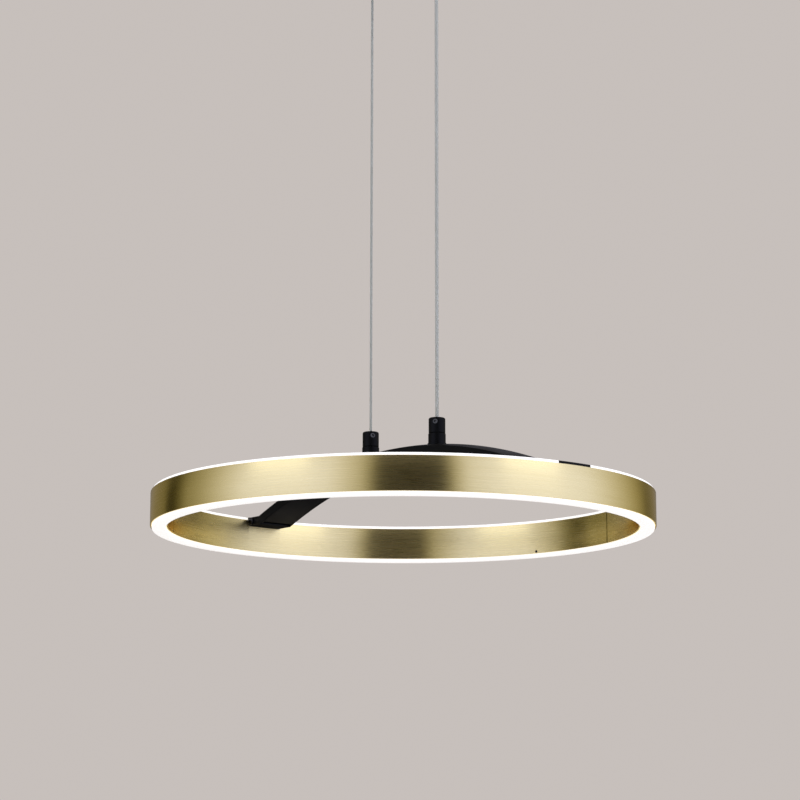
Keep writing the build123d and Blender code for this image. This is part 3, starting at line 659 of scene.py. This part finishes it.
def makeDiffuser(name, rim, crown, cutBuilder, *nodes):
    outward = 1.0 if crown > rim else -1.0
    half = ringSpec["width"] / 2 - ringSpec["wall"] - diffuserSpec["fit"]
    wall = diffuserSpec["wall"]
    legs = rim - outward * diffuserSpec["depth"]
    inside = crown - outward * wall
    corners = [
        (-half, legs), (-half, crown), (half, crown), (half, legs), (half - wall, legs),
        (half - wall, inside), (wall - half, inside), (wall - half, legs),
    ]
    return sweepRing(name, corners, cutBuilder, diffuserSpec, "opal", *nodes)


brassRing = makeRing()
makeDiffuser("lowerDiffuser", ringBottom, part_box("lower_diffuser")[0].z, noCut, "lower_diffuser")
makeDiffuser("upperDiffuser", ringTop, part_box("upper_diffuser_front")[1].z, footGapCut,
             "upper_diffuser_front", "upper_diffuser_back")
print("ring and diffusers swept:", len(brassRing.data.polygons), "faces in the ring")


# bridge: an arched section with a rounded top, cut to length, with flat ends and two terminal pads

def archTree():
    tree, given = newTree("sectionAlongArch", [
        ("Section", "Object"), ("Trim", "Object"), ("Additions", "Object"), ("Cuts", "Object"),
        ("Arch Radius", "Float"), ("Half Angle", "Float"), ("Stations", "Int"), ("Centre", "Vector"),
        ("Finish", "Material"),
    ])
    path = step(tree, "CurveArc", Resolution=given["Stations"], Radius=given["Arch Radius"],
                Start_Angle=reckon(tree, "SUBTRACT", math.pi / 2, given["Half Angle"]),
                Sweep_Angle=reckon(tree, "MULTIPLY", given["Half Angle"], 2.0))
    path = step(tree, "SetCurveNormal", {"mode": "Z_UP"}, Curve=path)
    section = fromObject(tree, given["Section"])
    shape = step(tree, "CurveToMesh", Curve=path, Profile_Curve=section, Fill_Caps=True)
    shape = step(tree, "Transform", Geometry=shape, Rotation=(math.pi / 2, 0.0, 0.0),
                 Translation=given["Centre"])
    shape = carve(tree, shape, fromObject(tree, given["Trim"]), True)
    shape = fuse(tree, shape, fromObject(tree, given["Additions"]))
    shape = carve(tree, shape, fromObject(tree, given["Cuts"]), True)
    closeTree(tree, shape, given["Finish"])
    return tree


sectionAlongArch = archTree()
bridgeSpec = {
    "width": 0.032, "side": endHeight, "crown": 0.0025, "rise": 0.0337, "wall": 0.0014, "edge": 0.0004,
    "endLength": 0.015, "endGap": 0.001, "endRound": 0.0006, "crownPoints": 26, "stations": 140,
    "padRadius": 0.0074, "padLip": 0.0003, "padDepth": 0.004, "padSides": 64,
    "stemHole": 0.00515, "holeSides": 48,
    "lap": 0.0004,       # the plate that closes the arch's end lies this deep in its wall
    "inset": 0.00002,    # keeps the flat ends' sides off the arch's own
}
# how far the shapes that trim and hollow the bridge reach past it
bridgePast = {
    "long": 0.04, "wide": 0.03, "tall": 0.03, "baseLong": 0.03, "baseWide": 0.031, "baseDeep": 0.02,
    "baseGap": 0.00003, "mouth": 0.002, "drillLow": 0.02, "drillHigh": 0.01, "archDegrees": 2.0,
}
bridgeHalf = bridgeSpec["width"] / 2
kinkX = ringInner - bridgeSpec["endLength"]              # where the arch meets its flat ends
archRadius = (kinkX ** 2 + bridgeSpec["rise"] ** 2) / (2 * bridgeSpec["rise"])
archCentre = footTop + bridgeSpec["rise"] - archRadius
capLow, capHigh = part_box("right_terminal_cap")
terminalX = (capLow.x + capHigh.x) / 2


def roofLine(inset):
    crown, count = bridgeSpec["crown"], bridgeSpec["crownPoints"]
    crownRadius = (bridgeHalf ** 2 + crown ** 2) / (2 * crown)
    radius = crownRadius - inset
    reach = math.asin((bridgeHalf - inset) / radius)
    angles = [reach * (1 - 2 * index / count) for index in range(count + 1)]
    return [(crown - crownRadius + radius * math.cos(a), radius * math.sin(a)) for a in angles]


def archHeight(out, x):                  # of a line that lies so far out of the arch's own
    return archCentre + math.sqrt((archRadius + out) ** 2 - x ** 2)


def padTop():
    nearEdge = terminalX - bridgeSpec["padRadius"]
    return archHeight(bridgeSpec["crown"], nearEdge) + bridgeSpec["padLip"]


def bridgeSection():
    side, wall, edge = bridgeSpec["side"], bridgeSpec["wall"], bridgeSpec["edge"]
    return [
        *roofLine(0.0), (edge - side, -bridgeHalf), (-side, edge - bridgeHalf), (-side, wall - bridgeHalf),
        *roofLine(wall)[::-1], (-side, bridgeHalf - wall), (-side, bridgeHalf - edge),
        (edge - side, bridgeHalf),
    ]


def archEnd():
    lap = bridgeSpec["lap"]
    narrow = 1 - lap / bridgeHalf
    roof = [(across * narrow, archHeight(out, kinkX) - lap) for out, across in roofLine(0.0)]
    return [*roof, (lap - bridgeHalf, footTop - 2 * lap), (bridgeHalf - lap, footTop - 2 * lap)]


def trimEnds(shape):
    wide, tall = bridgePast["wide"], bridgePast["tall"]
    for sign in (1.0, -1.0):
        near, far = sorted((sign * kinkX, sign * (kinkX + bridgePast["long"])))
        addBox(shape, (near, -wide, footLow - tall), (far, wide, footTop + tall))
    long, wide = kinkX + bridgePast["baseLong"], bridgePast["baseWide"]
    addBox(shape, (-long, -wide, footLow - bridgePast["baseDeep"]),
           (long, wide, footLow - bridgePast["baseGap"]))


def flatEnds(shape):
    wall, lap = bridgeSpec["wall"], bridgeSpec["lap"]
    half, top = bridgeHalf - bridgeSpec["inset"], padTop()
    outline = archEnd()
    for sign in (-1.0, 1.0):
        near, far = sorted((sign * (kinkX - wall), sign * (ringInner - bridgeSpec["endGap"])))
        addBox(shape, (near, -half, footLow), (far, half, footTop), bridgeSpec["endRound"])
        addPrism(shape, *([(sign * x, across, height) for across, height in outline]
                          for x in (kinkX - wall - lap, kinkX - lap / 4)))
        padX = sign * terminalX
        addRod(shape, (padX, 0.0, top - bridgeSpec["padDepth"]), (padX, 0.0, top),
               bridgeSpec["padRadius"], bridgeSpec["padSides"])


def hollowEnds(shape):
    wall, top = bridgeSpec["wall"], padTop()
    half = bridgeHalf - wall
    mouthX = ringInner - bridgeSpec["endGap"] + bridgePast["mouth"]
    for sign in (-1.0, 1.0):
        near, far = sorted((sign * (kinkX - bridgeSpec["side"]), sign * mouthX))
        addBox(shape, (near, -half, footLow + wall), (far, half, footTop - wall))
        padX = sign * terminalX
        addRod(shape, (padX, 0.0, top - bridgePast["drillLow"]), (padX, 0.0, top + bridgePast["drillHigh"]),
               bridgeSpec["stemHole"], bridgeSpec["holeSides"])


def makeBridge():
    section = sectionCurve("bridge.section", bridgeSection())
    trim = toolShape("bridge.trim", trimEnds)
    additions = toolShape("bridge.additions", flatEnds)
    cuts = toolShape("bridge.cuts", hollowEnds)
    kinkAngle = math.asin(kinkX / (archRadius - bridgeSpec["side"]))
    bridge = grow("bridgeArch", sectionAlongArch, helpers=(section, trim, additions, cuts),
                  Section=section, Trim=trim, Additions=additions, Cuts=cuts, Arch_Radius=archRadius,
                  Half_Angle=kinkAngle + math.radians(bridgePast["archDegrees"]),
                  Stations=bridgeSpec["stations"], Centre=(0.0, 0.0, archCentre),
                  Finish=finishes["satin_black"])
    finishPiece(bridge, "lamp", "satin_black", "bridge_shell")
    return bridge


bridgeArch = makeBridge()
print("bridge swept:", len(bridgeArch.data.polygons), "faces")


# canopy screws: a knurled head with a slot, on a collar and a plain shank, one on each side

def thumbTree():
    tree, given = newTree("knurledThumbs", [
        ("Head Line", "Object"), ("Shank", "Object"), ("Slot", "Object"), ("Teeth", "Int"),
        ("Head Radius", "Float"), ("Tooth Depth", "Float"), ("Count", "Int"), ("Finish", "Material"),
    ])
    root = reckon(tree, "SUBTRACT", given["Head Radius"], given["Tooth Depth"])
    knurl = step(tree, "CurveStar", Points=given["Teeth"], Inner_Radius=root,
                 Outer_Radius=given["Head Radius"])
    screw = step(tree, "CurveToMesh", Curve=fromObject(tree, given["Head Line"]), Profile_Curve=knurl,
                 Scale=step(tree, "InputRadius"), Fill_Caps=True)
    screw = fuse(tree, screw, fromObject(tree, given["Shank"]))
    screw = carve(tree, screw, fromObject(tree, given["Slot"]))
    turn = tree.nodes.new("ShaderNodeCombineXYZ")
    plug(tree, turn.inputs["Z"], shareOfTurn(tree, given["Count"]))
    middle = step(tree, "Points", Count=given["Count"])
    shape = step(tree, "InstanceOnPoints", Points=middle, Instance=screw, Rotation=turn.outputs[0])
    closeTree(tree, shape, given["Finish"])
    return tree


knurledThumbs = thumbTree()
thumbSpec = {
    "count": 2, "teeth": 30, "toothDepth": 0.0004, "edge": 0.0005, "edgeScale": 0.88,
    "collarRadius": 0.0034, "collarLength": 0.001, "shankRadius": 0.002, "shankLength": 0.006,
    "slot": 0.001, "slotDepth": 0.0012, "overlap": 0.0004, "sides": 32,
}


def makeThumbs():
    low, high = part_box("cover_screws")
    wall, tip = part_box("canopy_cover")[1].y, high.y
    height, radius = (low.z + high.z) / 2, (high.z - low.z) / 2
    edge, overlap, sides = thumbSpec["edge"], thumbSpec["overlap"], thumbSpec["sides"]
    headStart = wall + thumbSpec["collarLength"]

    def along(reach):
        return Vector((0.0, reach, height))

    def shankShape(shape):
        addRod(shape, along(wall), along(headStart + overlap), thumbSpec["collarRadius"], sides)
        addRod(shape, along(wall - thumbSpec["shankLength"]), along(wall + overlap),
               thumbSpec["shankRadius"], sides)

    def slotShape(shape):
        half, reach = thumbSpec["slot"] / 2, 2 * radius
        addBox(shape, (-reach, tip - thumbSpec["slotDepth"], height - half),
               (reach, tip + edge, height + half))

    reaches = (headStart, headStart + edge, tip - edge, tip)
    scales = (thumbSpec["edgeScale"], 1.0, 1.0, thumbSpec["edgeScale"])
    headLine, line = curveLine("thumb.line", "POLY", [along(reach) for reach in reaches])
    for point, scale in zip(line.points, scales):
        point.radius = scale
    shank = toolShape("thumb.shank", shankShape)
    slot = toolShape("thumb.slot", slotShape)
    thumbs = grow("thumbScrews", knurledThumbs, helpers=(headLine, shank, slot), Head_Line=headLine,
                  Shank=shank, Slot=slot, Teeth=thumbSpec["teeth"], Head_Radius=radius,
                  Tooth_Depth=thumbSpec["toothDepth"], Count=thumbSpec["count"],
                  Finish=finishes["satin_black"])
    finishPiece(thumbs, "canopy", "satin_black", "cover_screws")
    return thumbs


thumbScrews = makeThumbs()
print("canopy screws knurled:", len(thumbScrews.data.polygons), "faces")


# gripper springs, coiled to the height of their CAD parts

def springTree():
    tree, given = newTree("coiledSpring", [
        ("Coil Radius", "Float"), ("Wire Radius", "Float"), ("Turns", "Float"), ("Height", "Float"),
        ("Turn Steps", "Int"), ("Sides", "Int"), ("Place", "Vector"), ("Finish", "Material"),
    ])
    coil = step(tree, "CurveSpiral", Resolution=given["Turn Steps"], Rotations=given["Turns"],
                Start_Radius=given["Coil Radius"], End_Radius=given["Coil Radius"], Height=given["Height"])
    coil = step(tree, "SetCurveNormal", {"mode": "Z_UP"}, Curve=coil)
    wire = step(tree, "CurvePrimitiveCircle", Resolution=given["Sides"], Radius=given["Wire Radius"])
    shape = step(tree, "CurveToMesh", Curve=coil, Profile_Curve=wire, Fill_Caps=True)
    shape = step(tree, "Transform", Geometry=shape, Translation=given["Place"])
    closeTree(tree, shape, given["Finish"])
    return tree


coiledSpring = springTree()
springSpec = {"turns": 5.0, "wireRadius": 0.0003, "turnSteps": 40, "sides": 12, "press": 0.0025}


def makeSpring(side):
    node = side + "_gripper_spring"
    low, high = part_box(node)
    x, wire = (low.x + high.x) / 2, springSpec["wireRadius"]
    length = high.z - low.z
    spring = grow(side + "Spring", coiledSpring, Coil_Radius=(high.x - low.x) / 2 - wire, Wire_Radius=wire,
                  Turns=springSpec["turns"], Height=length - 2 * wire, Turn_Steps=springSpec["turnSteps"],
                  Sides=springSpec["sides"], Place=(x, 0.0, low.z + wire), Finish=finishes["bright_steel"])
    finishPiece(spring, "canopy", "bright_steel", node)
    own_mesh(spring)


for springSide in ("left", "right"):
    makeSpring(springSide)
print("gripper springs coiled")


# finishes on the CAD pieces that stay

nodeSlots = {row["node"]: row["material_slot"] for row in frame["record"]["subparts"]}
ownFinish = {"terminal_set_screws": darkNickel}


def dressNode(name):
    node = cad[name]
    node.data.materials.clear()
    node.data.materials.append(ownFinish.get(name, finishes[nodeSlots[name]]))


for nodeName in cad:
    dressNode(nodeName)
print("CAD pieces dressed")


# studio: a round light tent with dark slots, which the brass mirrors, two soft boxes and a floor

studio = {
    "background": (0.57, 0.525, 0.50), "worldLight": (0.36, 0.35, 0.34),
    "floorDrop": 2.4, "floorRadius": 40.0, "floorSides": 96,
    "floorColour": (0.62, 0.58, 0.55), "floorRough": 0.8, "floorLift": 0.55,
}
tent = {
    "name": "lightTent", "radius": 2.3, "below": 1.5, "above": 2.2, "stepDegrees": 1.5,
    # degrees to the right of the camera, and how bright the cloth is there
    "shades": [
        (-180, 0.26), (-152, 0.25), (-120, 0.16), (-112, 0.22), (-96, 0.46), (-72, 0.96), (-44, 1.06),
        (-32, 0.98), (-17, 0.55), (-11, 0.018), (18, 0.01), (22, 0.48), (28, 0.88), (48, 1.09), (66, 1.12),
        (86, 1.0), (129, 0.30), (136, 0.13), (168, 0.30), (180, 0.26),
    ],
}
flag = {
    "name": "gradedFlag", "radius": 0.77, "below": 0.8, "above": 0.8, "stepDegrees": 1.0,
    "shades": [(-119, 0.022), (-112, 0.026), (-106, 0.13), (-98, 0.38)],
}
clothTint = {
    "dim": (1.0, 0.87, 0.27), "bright": (0.96, 1.0, 1.37),
    "behind": (1.06, 1.03, 1.12), "turned": (128, 150),      # degrees over which dim turns to behind
}
softBoxes = [
    {"name": "leftSoftBox", "turn": -60.0, "distance": 2.1, "rise": 1.3, "size": (1.2, 0.8), "watts": 3.0},
    {"name": "rightSoftBox", "turn": 62.0, "distance": 2.1, "rise": 1.3, "size": (1.2, 0.8), "watts": 3.0},
]


def makeWorld():
    world = bpy.data.worlds.new("paleStudio")
    scene.world = world
    world.use_nodes = True
    tree = world.node_tree
    tree.nodes.clear()
    rays = tree.nodes.new("ShaderNodeLightPath").outputs
    shown = rays["Is Camera Ray"]
    for label in ("Is Glossy Ray", "Is Transmission Ray"):
        shown = reckon(tree, "MAXIMUM", shown, rays[label])
    mix = tree.nodes.new("ShaderNodeMixShader")
    plug(tree, mix.inputs[0], shown)
    for index, colour in ((1, studio["worldLight"]), (2, studio["background"])):
        sky = tree.nodes.new("ShaderNodeBackground")
        plugAll(tree, sky, Color=(*colour, 1.0))
        plug(tree, mix.inputs[index], sky.outputs[0])
    end = tree.nodes.new("ShaderNodeOutputWorld")
    plugAll(tree, end, Surface=mix.outputs[0])


def makeSoftBox(spec):
    data = bpy.data.lights.new(spec["name"], "AREA")
    data.shape = "RECTANGLE"
    data.size, data.size_y = spec["size"]
    data.energy = spec["watts"]
    lamp = linked(spec["name"], data)
    target = Vector((0.0, 0.0, ringLevel))
    lamp.location = aroundRing(spec["turn"], spec["distance"], target.z + spec["rise"])
    lamp.rotation_mode = "QUATERNION"
    lamp.rotation_quaternion = (target - lamp.location).to_track_quat("-Z", "Y")


def between(value, low, high):
    return min(1.0, max(0.0, (value - low) / (high - low)))


def clothColour(stops, degrees):
    value = stops[-1][1]
    for (first, low), (second, high) in zip(stops, stops[1:]):
        if first <= degrees <= second:
            value = low + (high - low) * between(degrees, first, second)
            break
    dim, bright, behind = (Vector(clothTint[label]) for label in ("dim", "bright", "behind"))
    warm = dim.lerp(behind, between(abs(degrees), *clothTint["turned"]))
    return (*(value * warm.lerp(bright, min(1.0, value))), 1.0)


def hangCloth(spec):
    finish, tree, shader = startFinish(spec["name"])
    shade = tree.nodes.new("ShaderNodeVertexColor")
    shade.layer_name = "shade"
    plugAll(tree, shader, Base_Color=(0.0, 0.0, 0.0, 1.0), Specular_IOR_Level=0.0,
            Emission_Color=shade.outputs["Color"], Emission_Strength=1.0)
    stops = spec["shades"]
    span = stops[-1][0] - stops[0][0]
    count = round(span / spec["stepDegrees"])
    shape = bmesh.new()
    paint = shape.verts.layers.float_color.new("shade")
    last = None
    for index in range(count + 1):
        degrees = stops[0][0] + span * index / count
        post = [shape.verts.new(aroundRing(degrees, spec["radius"], ringLevel + height))
                for height in (-spec["below"], spec["above"])]
        for corner in post:
            corner[paint] = clothColour(stops, degrees)
        if last:
            shape.faces.new((last[0], last[1], post[1], post[0]))
        last = post
    cloth = meshPiece(spec["name"], shape)
    cloth.data.materials.append(finish)
    cloth.visible_camera = False


def makeFloor():
    finish, tree, shader = startFinish("paleFloor")
    seen = tree.nodes.new("ShaderNodeLightPath").outputs["Is Camera Ray"]
    plugAll(tree, shader, Base_Color=(*studio["floorColour"], 1.0), Roughness=studio["floorRough"],
            Emission_Color=(*studio["background"], 1.0),
            Emission_Strength=reckon(tree, "MULTIPLY", seen, studio["floorLift"]))
    shape = bmesh.new()
    bmesh.ops.create_circle(shape, cap_ends=True, segments=studio["floorSides"],
                            radius=studio["floorRadius"])
    floor = meshPiece("paleFloor", shape)
    floor.data.materials.append(finish)
    floor.location.z = -studio["floorDrop"]


makeWorld()
for softBox in softBoxes:
    makeSoftBox(softBox)
for hanging in (tent, flag):
    hangCloth(hanging)
makeFloor()
print("studio lit")
